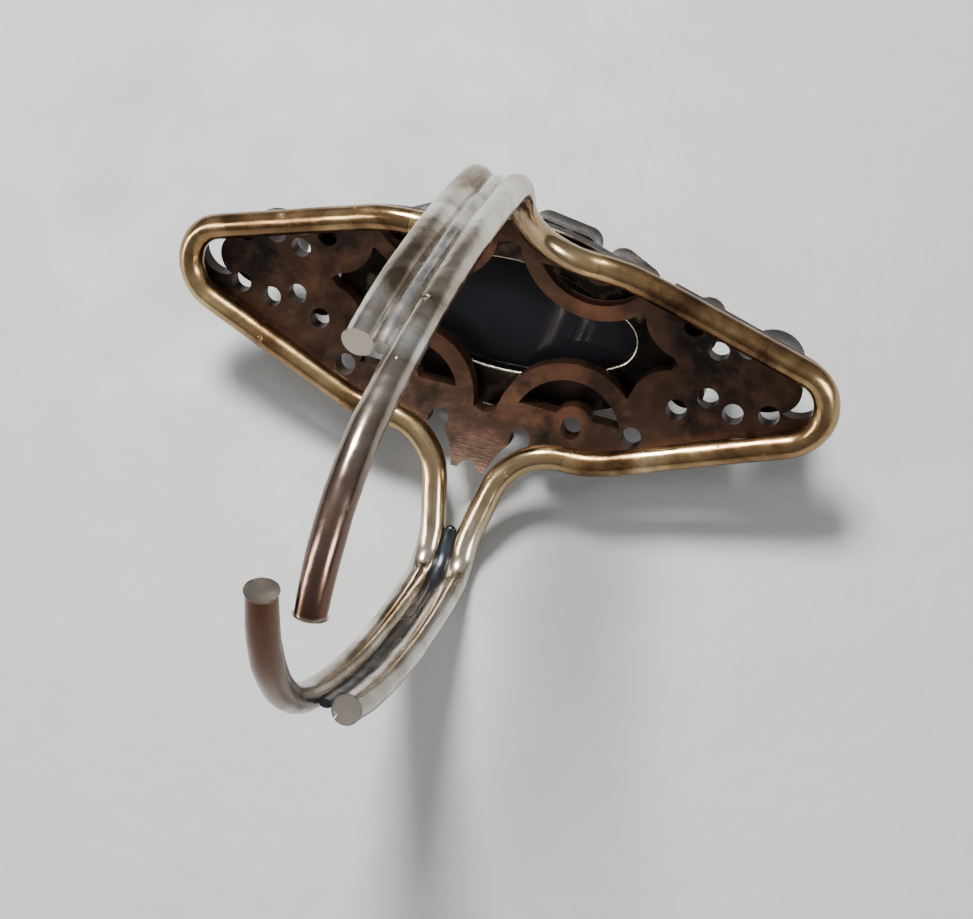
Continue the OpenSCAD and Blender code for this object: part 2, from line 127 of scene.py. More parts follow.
class RING_PG_colours(bpy.types.PropertyGroup):
    """Colours of the ring's finishes"""
    copper: colour("Copper", "Warm patches of the plate", (0.130, 0.060, 0.034))
    umber: colour("Umber", "Oxidised plate", (0.050, 0.027, 0.017))
    black: colour("Black", "Deepest oxide", (0.010, 0.008, 0.007))
    bronze: colour("Bronze", "Antiqued wire", (0.42, 0.29, 0.14))
    silver: colour("Silver", "Polished wire", (0.80, 0.77, 0.71))
    # painted shade: this dark brown stands in for shade and dark reflections on the far run of
    # the shank wires, not for tarnish
    painted_shade: colour("Painted_tail_shade", "Brown tarnish on the shank", (0.11, 0.056, 0.036))
    solder: colour("Solder", "Dark solder", (0.040, 0.046, 0.055))
    stone: colour("Stone", "Black stone", (0.004, 0.004, 0.005))
    floor: colour("Floor", "Table under the ring", (0.25, 0.25, 0.247))


def sizes():
    return bpy.context.scene.ring_sizes


def colours():
    return bpy.context.scene.ring_colours


# ---------------------------------------------------------------- where the ring lies

def pivots():
    joints = {j["child"]: Vector(j["pos_m"]) for j in frame["record"]["behaviour"]["joints"]}
    return joints["upper_arm"], joints["lower_arm"]


def head_matrix():
    """The head's own frame, in millimetres, to the row's frame, in metres."""
    upper, lower = pivots()
    across = (upper - lower).normalized()
    along = Vector((1, 0, 0))
    normal = along.cross(across)
    turn = Matrix((along, across, normal)).transposed().to_4x4()
    return Matrix.Translation((upper + lower) / 2) @ turn @ Matrix.Scale(MM, 4)


def rim_y():
    upper, lower = pivots()
    return (upper - lower).length / 2 / MM


def put(bm, name, body, node, material, mirror_x=False, mirror_y=False, place=None, smooth=45):
    """Finishes a mesh made in the head's frame and hands it over as the piece for a node."""
    if place:
        bmesh.ops.transform(bm, matrix=place, verts=bm.verts)
    flip = Matrix.Diagonal((-1 if mirror_x else 1, -1 if mirror_y else 1, 1, 1))
    bmesh.ops.transform(bm, matrix=head_matrix() @ flip, verts=bm.verts)
    bmesh.ops.recalc_face_normals(bm, faces=bm.faces)
    mesh = bpy.data.meshes.new(name)
    bm.to_mesh(mesh)
    bm.free()
    mesh.shade_smooth()
    piece = bpy.data.objects.new(name, mesh)
    bpy.context.collection.objects.link(piece)
    mesh.materials.append(material)
    hand_over(piece, body, node)
    if smooth:
        mesh.set_sharp_from_angle(angle=radians(smooth))
    return piece


def hand_over(piece, body, node):
    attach(piece, body)
    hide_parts(node)


# ---------------------------------------------------------------- finishes

class Nodes:
    """A short way to write a material's nodes."""

    def __init__(self, name):
        self.material = bpy.data.materials.new(name)
        self.material.use_nodes = True
        self.tree = self.material.node_tree
        self.shader = self.tree.nodes["Principled BSDF"]
        self.place = self.add("ShaderNodeTexCoord").outputs["Object"]

    def add(self, kind, **values):
        node = self.tree.nodes.new(kind)
        for key, value in values.items():
            setattr(node, key, value)
        return node

    def link(self, out, into):
        self.tree.links.new(out, into)

    def grain(self, scale, detail=4.0, rough=0.55, distortion=0.0, stretch=None):
        node = self.add("ShaderNodeTexNoise")
        node.inputs["Scale"].default_value = scale
        node.inputs["Detail"].default_value = detail
        node.inputs["Roughness"].default_value = rough
        node.inputs["Distortion"].default_value = distortion
        if stretch:
            turn = self.add("ShaderNodeMapping")
            turn.inputs["Scale"].default_value = stretch
            turn.inputs["Rotation"].default_value = (0.4, 0.3, 0.5)
            self.link(self.place, turn.inputs["Vector"])
            self.link(turn.outputs["Vector"], node.inputs["Vector"])
        else:
            self.link(self.place, node.inputs["Vector"])
        return node.outputs["Fac"]

    def ramp(self, fac, stops):
        node = self.add("ShaderNodeValToRGB")
        ramp = node.color_ramp
        while len(ramp.elements) < len(stops):
            ramp.elements.new(0.5)
        for element, (position, value) in zip(ramp.elements, stops):
            element.position = position
            element.color = (*value, 1) if hasattr(value, "__len__") else (value,) * 3 + (1,)
        self.link(fac, node.inputs["Fac"])
        return node.outputs["Color"]

    def mix(self, fac, a, b, blend="MIX"):
        node = self.add("ShaderNodeMix", data_type="RGBA", blend_type=blend)
        for value, socket in ((fac, node.inputs[0]), (a, node.inputs[6]), (b, node.inputs[7])):
            if hasattr(value, "links"):
                self.link(value, socket)
            elif hasattr(value, "__len__"):
                socket.default_value = (*value, 1)
            else:
                socket.default_value = value
        return node.outputs[2]

    def bump(self, *layers):
        """Height layers as (socket, distance in millimetres)."""
        normal = None
        for height, distance in layers:
            node = self.add("ShaderNodeBump")
            node.inputs["Strength"].default_value = 1.0
            node.inputs["Distance"].default_value = distance * MM
            self.link(height, node.inputs["Height"])
            if normal:
                self.link(normal, node.inputs["Normal"])
            normal = node.outputs["Normal"]
        self.link(normal, self.shader.inputs["Normal"])

    def finish(self, base, rough, metallic, coat=0.0, specular=0.5):
        self.link(base, self.shader.inputs["Base Color"])
        self.link(rough, self.shader.inputs["Roughness"])
        self.shader.inputs["Metallic"].default_value = metallic
        self.shader.inputs["Specular IOR Level"].default_value = specular
        self.shader.inputs["Coat Weight"].default_value = coat
        self.shader.inputs["Coat Roughness"].default_value = 0.04
        return self.material


def once(name, make):
    return bpy.data.materials.get(name) or make(name)


def plate_metal(name):
    c = colours()
    n = Nodes(name)
    patch = n.grain(170, 4, 0.6, 0.6)
    fine = n.grain(1500, 6, 0.65)
    base = n.ramp(patch, [(0.38, c.black), (0.47, c.umber), (0.56, c.umber), (0.66, c.copper)])
    base = n.mix(n.ramp(fine, [(0.50, 0.0), (0.80, 0.45)]), base, tuple(c.copper))
    base = n.mix(n.ramp(n.grain(520, 5, 0.6), [(0.34, 0.8), (0.46, 0.0)]), base, tuple(c.black))
    rough = n.ramp(fine, [(0.3, 0.30), (0.7, 0.52)])
    n.bump((n.grain(420, 4), 0.05), (n.grain(2600, 3, 0.6, 0.0, (1, 4, 1)), 0.012))
    return n.finish(base, rough, 0.8)


def worn_edge(name):
    c = colours()
    n = Nodes(name)
    base = n.ramp(n.grain(420, 5, 0.65), [(0.42, c.umber), (0.52, c.copper),
                                          (0.66, (0.32, 0.20, 0.12))])
    rough = n.ramp(n.grain(900, 4), [(0.3, 0.20), (0.7, 0.40)])
    n.bump((n.grain(700, 3), 0.02))
    return n.finish(base, rough, 0.95)


def polished_edge(name):
    n = Nodes(name)
    base = n.ramp(n.grain(380, 4, 0.6), [(0.38, (0.16, 0.12, 0.09)), (0.52, (0.60, 0.53, 0.43)),
                                         (0.68, (0.80, 0.74, 0.62))])
    rough = n.ramp(n.grain(900, 4), [(0.3, 0.14), (0.7, 0.30)])
    n.bump((n.grain(700, 3), 0.015))
    return n.finish(base, rough, 1.0)


def black_metal(name):
    c = colours()
    n = Nodes(name)
    patch = n.grain(260, 4, 0.6)
    base = n.ramp(patch, [(0.4, c.black), (0.7, (0.045, 0.033, 0.026))])
    base = n.mix(n.ramp(n.grain(700, 5), [(0.58, 0.0), (0.70, 0.6)]), base, (0.26, 0.19, 0.14))
    rough = n.ramp(n.grain(1100, 4), [(0.3, 0.22), (0.7, 0.42)])
    n.bump((n.grain(700, 4), 0.02))
    return n.finish(base, rough, 0.9)


def bronze_wire(name):
    c = colours()
    n = Nodes(name)
    patch = n.grain(230, 5, 0.6, 0.8)
    base = n.ramp(patch, [(0.34, (0.070, 0.036, 0.018)), (0.46, (0.24, 0.14, 0.065)),
                          (0.60, c.bronze), (0.75, (0.66, 0.50, 0.28))])
    pits = n.ramp(n.grain(900, 5, 0.7), [(0.27, 1.0), (0.34, 0.0)])
    base = n.mix(pits, base, tuple(c.black))
    rough = n.ramp(n.grain(800, 4), [(0.3, 0.14), (0.7, 0.32)])
    n.bump((n.grain(500, 3), 0.03), (pits, -0.03))
    return n.finish(base, rough, 1.0)


def worn_and_shaded_silver(name):
    c = colours()
    n = Nodes(name)
    run = n.add("ShaderNodeAttribute", attribute_name=EDGE).outputs["Fac"]
    patch = n.grain(260, 5, 0.6, 0.8)
    unshaded_silver = n.ramp(patch, [(0.34, (0.20, 0.15, 0.10)), (0.46, (0.52, 0.46, 0.38)),
                           (0.62, c.silver)])
    # painted shade: from about 18 mm along a wire its colour fades to the dark brown shade
    # colour, full by about 29 mm, standing in for shade and dark reflections on the long tails
    far = n.ramp(run, [(0.46, 0.0), (0.60, 0.85), (0.72, 1.0)])
    near = n.ramp(run, [(0.0, 1.0), (0.10, 0.8), (0.20, 0.0)])
    base = n.mix(near, unshaded_silver, tuple(c.bronze))
    base = n.mix(far, base, tuple(c.painted_shade))
    # painted highlight: the cut end of each wire is coloured a lighter grey-brown where the wire
    # ends catch the light
    cut = n.add("ShaderNodeAttribute", attribute_name=CUT).outputs["Fac"]
    base = n.mix(n.ramp(cut, [(0.6, 0.0), (0.95, 0.8)]), base, (0.50, 0.44, 0.37))
    pits = n.ramp(n.grain(800, 5, 0.7), [(0.27, 1.0), (0.34, 0.0)])
    base = n.mix(pits, base, (0.06, 0.04, 0.03))
    rough = n.ramp(n.grain(700, 4), [(0.3, 0.12), (0.7, 0.30)])
    n.bump((n.grain(450, 3), 0.04), (pits, -0.03))
    return n.finish(base, rough, 1.0)


def bright_solder(name):
    n = Nodes(name)
    base = n.ramp(n.grain(420, 5, 0.6), [(0.34, (0.22, 0.20, 0.18)), (0.5, (0.60, 0.58, 0.54)),
                                         (0.7, (0.78, 0.77, 0.73))])
    rough = n.ramp(n.grain(900, 4), [(0.3, 0.18), (0.7, 0.38)])
    n.bump((n.grain(600, 4), 0.04))
    return n.finish(base, rough, 1.0)


def solder_metal(name):
    c = colours()
    n = Nodes(name)
    base = n.ramp(n.grain(400, 4, 0.6), [(0.4, (0.018, 0.020, 0.024)), (0.65, c.solder)])
    rough = n.ramp(n.grain(900, 4), [(0.3, 0.22), (0.7, 0.45)])
    n.bump((n.grain(600, 4), 0.05))
    return n.finish(base, rough, 0.85)


def black_stone(name):
    c = colours()
    n = Nodes(name)
    base = n.ramp(n.grain(180, 3), [(0.4, c.stone), (0.8, (0.010, 0.010, 0.013))])
    rough = n.ramp(n.grain(900, 3), [(0.3, 0.03), (0.8, 0.09)])
    n.bump((n.grain(160, 2), 0.01))
    return n.finish(base, rough, 0.0, coat=0.05, specular=0.2)


def floor_paper(name):
    c = colours()
    n = Nodes(name)
    base = n.mix(n.grain(60, 5), tuple(c.floor), tuple(v * 1.12 for v in c.floor))
    rough = n.ramp(n.grain(200, 4), [(0.3, 0.5), (0.7, 0.65)])
    n.bump((n.grain(900, 4), 0.05))
    return n.finish(base, rough, 0.0)


# ---------------------------------------------------------------- drawn wire

class Drawn:
    """A round section drawn along straights and bends, in the head's frame."""

    def __init__(self, start, heading, half, segments=24, wide=1.0):
        self.bm = bmesh.new()
        self.run_layer = self.bm.verts.layers.float.new(EDGE)
        self.cut_layer = self.bm.verts.layers.float.new(CUT)
        self.at, self.heading, self.run = Vector(start), Vector(heading).normalized(), 0.0
        ring = bmesh.ops.create_circle(self.bm, segments=segments, radius=half)["verts"]
        frame_z = self.heading
        side = Vector((1, 0, 0)) if abs(frame_z.x) < 0.9 else Vector((0, 1, 0))
        up = frame_z.cross(side).normalized()
        side = up.cross(frame_z).normalized()
        turn = Matrix((side * wide, up, frame_z)).transposed().to_4x4()
        bmesh.ops.transform(self.bm, matrix=Matrix.Translation(self.at) @ turn, verts=ring)
        self.edges = list(self.bm.edges)
        self.rings = [(self.at.copy(), ring, 0.0)]
        self.first = list(self.edges)

    def extrude(self):
        made = bmesh.ops.extrude_edge_only(self.bm, edges=self.edges)["geom"]
        verts = [g for g in made if isinstance(g, bmesh.types.BMVert)]
        kept = set(verts)
        self.edges = [g for g in made if isinstance(g, bmesh.types.BMEdge)
                      and g.verts[0] in kept and g.verts[1] in kept]
        return verts

    def straight(self, distance, step=0.35):
        count = max(1, round(distance / step))
        for _ in range(count):
            verts = self.extrude()
            move = self.heading * (distance / count)
            bmesh.ops.translate(self.bm, vec=move, verts=verts)
            self.note(self.at + move, verts, distance / count)
        return self

    def bend(self, heading, radius, step=0.3):
        goal = Vector(heading).normalized()
        angle = acos(max(-1.0, min(1.0, self.heading.dot(goal))))
        inward = (goal - cos(angle) * self.heading).normalized()
        centre = self.at + inward * radius
        axis = self.heading.cross(inward)
        count = max(2, round(radius * angle / step))
        count = max(count, round(degrees(angle) / 6))
        turn = Matrix.Rotation(angle / count, 3, axis)
        for _ in range(count):
            verts = self.extrude()
            bmesh.ops.rotate(self.bm, cent=centre, matrix=turn, verts=verts)
            self.note(centre + turn @ (self.at - centre), verts, radius * angle / count)
        self.heading = goal
        return self

    def note(self, at, verts, distance):
        self.at = at
        self.run += distance
        self.rings.append((at.copy(), verts, self.run))

    def close(self, worn=0.008, seed=0.0, taper=0.0, cut=0.0):
        """Wears the surface a little, thins the far end and closes both ends."""
        total = self.run
        for at, verts, run in self.rings:
            tail = max(0.0, 1 - (total - run) / 2.5)
            for v in verts:
                out = v.co - at
                swell = noise.noise(v.co * 0.9 + Vector((seed, 0, 0))) * worn
                swell += noise.noise(v.co * 2.6 + Vector((0, seed, 0))) * worn * 0.5
                v.co = at + out * (1 - taper * tail * tail) + out.normalized() * swell
                v[self.run_layer] = run / RUN_SCALE
        caps = [bmesh.ops.edgeloop_fill(self.bm, edges=loop)["faces"]
                for loop in (self.first, self.edges)]
        if cut:
            for v in caps[1][0].verts:
                v[self.cut_layer] = 1
            bmesh.ops.inset_region(self.bm, faces=caps[1], thickness=cut * 0.5)
            bmesh.ops.bevel(self.bm, geom=list(caps[1][0].edges), offset=cut, segments=3,
                            profile=0.5, material=-1, affect="EDGES", offset_type="OFFSET")
        return self.bm


RUN_SCALE = 40.0      # run along a wire that reads as 1 in its finish, mm


def shank_dir(angle):
    return Vector((0, cos(radians(angle)), sin(radians(angle))))


def rim_numbers():
    s = sizes()
    slope, tilt = radians(s.side_slope), radians(s.rim_tilt)
    side = Vector((cos(slope), -sin(slope) * cos(tilt), -sin(slope) * sin(tilt)))
    tip_tilt, tip_slope = atan(-side.z / side.x), asin(-side.y)
    tip_x = s.head_length / 2 - s.wire_d / 2
    x1 = tip_x - s.tip_r * cos(tip_tilt) * (1 - sin(tip_slope))
    x0 = pivot_x() + SLACK + s.hip_r * sin(slope)
    return side, (x1 - x0) / side.x


def pivot_x():
    s = sizes()
    lane = (s.wire_d + s.lane_gap) / 2
    turn = radians(s.shoulder_turn)
    return lane + s.shoulder_r * sin(turn) + s.shoulder_run * cos(turn)


class ArmPath:
    """One arm's bends, from its pivots to the direction where its wire ends."""

    def __init__(self, arm):
        s = sizes()
        self.lane = (s.wire_d + s.lane_gap) / 2
        if arm == "upper_arm":
            self.rise, self.elbow_r, self.side_r = s.upper_rise, s.upper_elbow_r, s.upper_side_r
            self.side_end, self.top_r = s.upper_side_end, s.upper_top_r
            self.turn, self.run = radians(90), s.upper_run
            self.shoulder_r = pivot_x() - self.lane
        else:
            self.rise, self.elbow_r, self.side_r = s.lower_rise, s.lower_elbow_r, s.lower_side_r
            self.side_end, self.top_r = s.lower_side_end, s.lower_top_r
            self.turn, self.run = radians(s.shoulder_turn), s.shoulder_run
            self.shoulder_r = s.shoulder_r
        self.out = shank_dir(self.rise)
        self.inward = Vector((-cos(self.turn), 0, 0)) + sin(self.turn) * self.out
        self.elbow_at = self.shoulder_r * (1 - cos(self.turn)) + self.run * sin(self.turn)

    def lead(self, wire):
        """Draws from the pivot to the start of the elbow, and gives what the elbow loses."""
        wire.bend(self.inward, self.shoulder_r)
        if cos(self.turn) < 0.01:
            wire.straight(self.run, self.run)
            return 0.0
        wire.straight(self.run - EASE)
        wire.bend(self.out, EASE * cos(self.turn) / (1 - sin(self.turn)))
        return EASE

    def rest(self, wire, end, lost=0.0):
        """Draws the elbow, the side and the top as far as a direction."""
        reach = self.elbow_r * tan(radians(90 - self.rise) / 2)
        wire.bend(shank_dir(90), self.elbow_r * (reach - lost) / reach, 0.15)
        if lost:
            wire.straight(lost)
        wire.bend(shank_dir(min(end, self.side_end)), self.side_r)
        if end > self.side_end:
            wire.bend(shank_dir(end), self.top_r)


def draw_frame_wire(seed):
    s = sizes()
    side, side_len = rim_numbers()
    wire = Drawn((pivot_x() + SLACK, rim_y(), 0), (1, 0, 0), s.wire_d / 2)
    wire.bend(side, s.hip_r).straight(side_len)
    wire.bend((-side.x, side.y, -side.z), s.tip_r, 0.12).straight(side_len)
    wire.bend((-1, 0, 0), s.hip_r)
    return wire.close(0.014, seed)


EASE = 0.45           # half length of the small bend between shoulder and elbow, mm


def draw_arm_wire(arm, end, seed):
    path = ArmPath(arm)
    wire = Drawn((pivot_x(), rim_y(), 0), (-1, 0, 0), sizes().wire_d / 2)
    path.rest(wire, end, path.lead(wire))
    return wire.close(0.016, seed, 0.10, 0.12)


GROOVE_FILL = 0.09    # how far the solder creeps up on each wire, mm


def draw_solder(arm, end, seed, deep):
    """Solder in the groove between an arm's wires, with the bead where they part."""
    path = ArmPath(arm)
    start = Vector((0, rim_y(), 0)) + path.out * (path.elbow_at - 0.1)
    strip = Drawn(start, path.out, deep, 20, (sizes().lane_gap / 2 + GROOVE_FILL) / deep)
    strip.straight(0.1)
    path.rest(strip, end)
    bm = strip.close(0.05, seed, 0.2)
    bead = bmesh.ops.create_icosphere(bm, subdivisions=4, radius=0.25)["verts"]
    for v in bead:
        v.co *= 1 + 0.05 * noise.noise(v.co * 3 + Vector((seed, seed, 0)))
        v.co.z *= 0.8
    bmesh.ops.translate(bm, vec=start - path.out * 0.02, verts=bead)
    return bm


# ---------------------------------------------------------------- settings and stones

TURN = "outline_turn"     # direction of the outline's outward normal at a vertex


def oval_point(turn, step):
    """A point on the tray's outline of four arcs, a step inside it."""
    s = sizes()
    reach, side = s.tray_a - s.tray_end_r, s.tray_b - s.tray_end_r
    c = (reach ** 2 - side ** 2) / (2 * side)
    x, y = abs(cos(turn)), abs(sin(turn))
    if atan2(y, x) < atan2(c, reach):
        spot = Vector((reach + (s.tray_end_r - step) * x, (s.tray_end_r - step) * y, 0))
    else:
        radius = c + s.tray_b - step
        spot = Vector((radius * x, radius * y - c, 0))
    return Vector((spot.x if cos(turn) > 0 else -spot.x, spot.y if sin(turn) > 0 else -spot.y, 0))


def capsule_point(half, width):
    def point(turn, step):
        reach = half - width / 2
        across = width / 2 - step
        shift = 0 if abs(cos(turn)) < 1e-6 else (reach if cos(turn) > 0 else -reach)
        return Vector((shift + across * cos(turn), across * sin(turn), 0))
    return point


def carried(point, profile, segments=96, shut=False):
    """A profile carried round an outline. Each row is (step inside, share left, depth)."""
    bm = bmesh.new()
    layer = bm.verts.layers.float.new(TURN)
    ring = bmesh.ops.create_circle(bm, segments=segments, radius=1)["verts"]
    for v in ring:
        v[layer] = atan2(v.co.y, v.co.x) + 0.5 * pi / segments
    edges = first = list(bm.edges)
    verts = ring
    for row, (step, share, depth) in enumerate(profile):
        if row:
            made = bmesh.ops.extrude_edge_only(bm, edges=edges)["geom"]
            verts = [g for g in made if isinstance(g, bmesh.types.BMVert)]
            kept = set(verts)
            edges = [g for g in made if isinstance(g, bmesh.types.BMEdge)
                     and g.verts[0] in kept and g.verts[1] in kept]
        for v in verts:
            v.co = point(v[layer], step) * share
            v.co.z = -depth
    if shut:
        bmesh.ops.bridge_loops(bm, edges=first + edges)
    bmesh.ops.remove_doubles(bm, verts=bm.verts, dist=1e-4)
    bmesh.ops.dissolve_degenerate(bm, dist=1e-4, edges=bm.edges)
    return bm


def wall_profile(height, thick, foot=0.0, lip=0.07):
    """A setting's wall: a foot, a slight waist and a lip rubbed over the stone."""
    rows = [(0.0, 1, -foot), (-0.03, 1, -foot + 0.02), (-0.03, 1, 0.10), (0.02, 1, 0.17)]
    rows += [(0.03, 1, height * 0.55), (0.01, 1, height - 0.2), (-0.01, 1, height - 0.10)]
    for i in range(1, 7):
        a = radians(30 * i)
        mid = thick / 2
        rows.append((mid - (mid + 0.01) * cos(a), 1, height - 0.10 + lip * 1.6 * sin(a)))
    rows += [(thick + 0.01, 1, height - 0.16), (thick, 1, -foot)]
    return rows


def stone_profile(height, dome, rows=14):
    out = [(0, 0.0, 0.0), (0, 0.5, 0.0), (0, 0.93, 0.0), (0, 0.985, 0.01), (0, 1, 0.06),
           (0, 1, height)]
    for i in range(1, rows + 1):
        a = radians(90 * i / rows)
        out.append((0, cos(a) if i < rows else 0.0, height + dome * sin(a)))
    return out


def bed_z():
    s = sizes()
    axis = sqrt((s.plate_r - s.wire_d / 2 - SLACK) ** 2 - rim_y() ** 2)
    return axis, axis - s.plate_r - s.plate_t - SLACK - s.tray_t


def on_ledge(x):
    """Place on the middle of the tray's ledge at x, turned along it."""
    s = sizes()
    reach, side = s.tray_a - s.tray_end_r, s.tray_b - s.tray_end_r
    c = (reach ** 2 - side ** 2) / (2 * side)
    radius = c + s.tray_b - s.tray_ledge / 2
    y = sqrt(radius ** 2 - x ** 2) - c
    return Matrix.Translation((x, y, 0)) @ Matrix.Rotation(-asin(x / radius), 4, "Z")


CORNERS = [("upper", "left"), ("upper", "right"), ("lower", "left"), ("lower", "right")]
PETALS = {"large": (1.62, 1.5), "medium": (4.6, 1.2)}
SMALL = ((7.9, 1.25), 0.7, 2.0)
TIP = ((10.9, 0.0), 1.3, 1.9)
CUP_FOOT = 0.12       # how far a round setting's foot is let into the plate, mm


def round_settings():
    """Name, place, radius, height and mirror of each round setting."""
    for row, side in CORNERS:
        (x, y), radius, height = SMALL
        yield f"small_{row}_{side}", (x, y if row == "upper" else -y), radius, height, side
    for side in ("left", "right"):
        yield f"tip_{side}", TIP[0], TIP[1], TIP[2], side


def cup_foot(spot):
    """Depth of the plate's front above the bed at a round setting."""
    s = sizes()
    axis, bed = bed_z()
    y = spot[1] + s.head_shift
    return axis - sqrt((s.plate_r + s.plate_t) ** 2 - y * y) - bed + CUP_FOOT


def shifted(z, place=Matrix.Identity(4), flip_y=False):
    """Moves a piece of the front to its depth and off the head's middle."""
    flip = Matrix.Diagonal((1, -1 if flip_y else 1, 1, 1))
    return Matrix.Translation((0, sizes().head_shift, z)) @ flip @ place


# ---------------------------------------------------------------- operators

def softened(node, name, body, rubbed, width, sharp=32):
    """A CAD node's shape with its loose triangles joined and its edges rubbed round."""
    bm = bmesh.new()
    bm.from_mesh(frame["nodes"][node].data)
    bmesh.ops.remove_doubles(bm, verts=bm.verts, dist=WELD)
    bmesh.ops.dissolve_degenerate(bm, dist=1e-6, edges=bm.edges)
    bmesh.ops.dissolve_limit(bm, angle_limit=radians(FLAT), verts=bm.verts, edges=bm.edges)
    edges = [e for e in bm.edges if len(e.link_faces) == 2
             and e.calc_face_angle() > radians(sharp)]
    bmesh.ops.bevel(bm, geom=edges, offset=width * MM, segments=3, profile=0.5, material=1,
                    affect="EDGES", clamp_overlap=True)
    bmesh.ops.triangulate(bm, faces=bm.faces)
    bmesh.ops.recalc_face_normals(bm, faces=bm.faces)
    mesh = bpy.data.meshes.new(name)
    bm.to_mesh(mesh)
    bm.free()
    mesh.shade_smooth()
    mesh.materials.append(body)
    mesh.materials.append(rubbed)
    piece = bpy.data.objects.new(name, mesh)
    bpy.context.collection.objects.link(piece)
    hand_over(piece, "head", node)
    return piece


def level_shading(mesh, normal_at):
    """Shades the faces of the first finish by their true surface, not by their triangles."""
    normals = [mesh.vertices[loop.vertex_index].normal.copy() for loop in mesh.loops]
    for face in mesh.polygons:
        if face.material_index == 0:
            for index in face.loop_indices:
                spot = mesh.vertices[mesh.loops[index].vertex_index].co
                normals[index] = normal_at(spot, face.normal)
    mesh.normals_split_custom_set(normals)


class PieceOperator:
    bl_options = {"REGISTER", "UNDO"}


class RING_OT_plate(PieceOperator, bpy.types.Operator):
    """Pierced, curved back plate with rounded edges"""
    bl_idname = "ring.plate"
    bl_label = "Back Plate"

    def execute(self, context):
        piece = softened("back_plate", "back_plate_pierced", once("Oxidised copper", plate_metal),
                         once("Rubbed copper", worn_edge), 0.05)
        head = head_matrix()
        level, centre = head.to_3x3().normalized(), head @ Vector((0, 0, bed_z()[0]))

        def curved(spot, flat):
            out = level.inverted() @ (spot - centre)
            out = level @ Vector((0, out.y, out.z)).normalized()
            side = flat.dot(out)
            return out * (1 if side > 0 else -1) if abs(side) > RADIAL else flat

        level_shading(piece.data, curved)
        return {"FINISHED"}


class RING_OT_tray(PieceOperator, bpy.types.Operator):
    """Oval tray with a polished opening behind the stone"""
    bl_idname = "ring.tray"
    bl_label = "Stone Tray"

    def execute(self, context):
        piece = softened("stone_tray", "stone_tray_oval", once("Blackened metal", black_metal),
                         once("Polished edge", polished_edge), 0.08)
        level_shading(piece.data, lambda spot, flat: flat)
        return {"FINISHED"}


class RING_OT_frame(PieceOperator, bpy.types.Operator):
    """Two bent frame wires round the plate"""
    bl_idname = "ring.frame_wires"
    bl_label = "Frame Wires"

    def execute(self, context):
        metal = once("Antiqued bronze", bronze_wire)
        put(draw_frame_wire(3.0), "left_frame_wire_drawn", "head", "left_frame_wire", metal,
            mirror_x=True)
        put(draw_frame_wire(8.0), "right_frame_wire_drawn", "head", "right_frame_wire", metal)
        return {"FINISHED"}


ARMS = {
    "upper_long_wire": ("upper_arm", 170, False, False),
    "upper_short_wire": ("upper_arm", 107.5, True, False),
    "lower_long_wire": ("lower_arm", 170, True, True),
    "lower_short_wire": ("lower_arm", 120, False, True),
}


class RING_OT_shank(PieceOperator, bpy.types.Operator):
    """Four wires of the open shank, each from its pivot to its cut end"""
    bl_idname = "ring.shank_wires"
    bl_label = "Shank Wires"

    def execute(self, context):
        # worn silver with pits and patches, plus painted shade on the far run of the long wires
        # and a painted highlight on the cut ends
        metal = once("Worn silver", worn_and_shaded_silver)
        for index, (node, (body, end, left, low)) in enumerate(ARMS.items()):
            put(draw_arm_wire(body, end, 11.0 + 5 * index), node + "_drawn", body, node, metal,
                mirror_x=left, mirror_y=low)
        return {"FINISHED"}


class RING_OT_solder(PieceOperator, bpy.types.Operator):
    """Solder run into the groove of each arm"""
    bl_idname = "ring.solder"
    bl_label = "Solder"

    def execute(self, context):
        put(draw_solder("upper_arm", 107.5, 2.0, 0.30), "upper_solder_run", "upper_arm",
            "upper_solder", once("Bright solder", bright_solder))
        put(draw_solder("lower_arm", 120, 6.0, 0.20), "lower_solder_run", "lower_arm",
            "lower_solder", once("Dark solder", solder_metal), mirror_y=True)
        return {"FINISHED"}


class RING_OT_settings(PieceOperator, bpy.types.Operator):
    """Walls that hold the oval stone and the small stones"""
    bl_idname = "ring.settings"
    bl_label = "Settings"

    def execute(self, context):
        s = sizes()
        metal = once("Blackened metal", black_metal)
        _, bed = bed_z()
        rows = [(s.tray_ledge + a, b, c) for a, b, c in wall_profile(s.bezel_h, s.bezel_t)]
        put(carried(oval_point, rows, 192, True), "centre_bezel_wall", "head", "centre_bezel",
            metal, place=shifted(bed - SLACK))
        width = s.tray_ledge - 2 * SLACK
        for size, (x, half) in PETALS.items():
            for row, side in CORNERS:
                wall = carried(capsule_point(half, width), wall_profile(s.petal_h, s.bezel_t),
                               72, True)
                node = f"{size}_{row}_{side}_bezel"
                put(wall, node + "_wall", "head", node, metal, mirror_x=side == "left",
                    place=shifted(bed - SLACK, on_ledge(x), row == "lower"))
        for name, spot, radius, height, side in round_settings():
            wall = carried(capsule_point(radius, 2 * radius),
                           wall_profile(height, s.bezel_t, cup_foot(spot)), 64, True)
            node = name + "_bezel"
            put(wall, node + "_wall", "head", node, metal, mirror_x=side == "left",
                place=shifted(bed, Matrix.Translation((*spot, 0))))
        return {"FINISHED"}


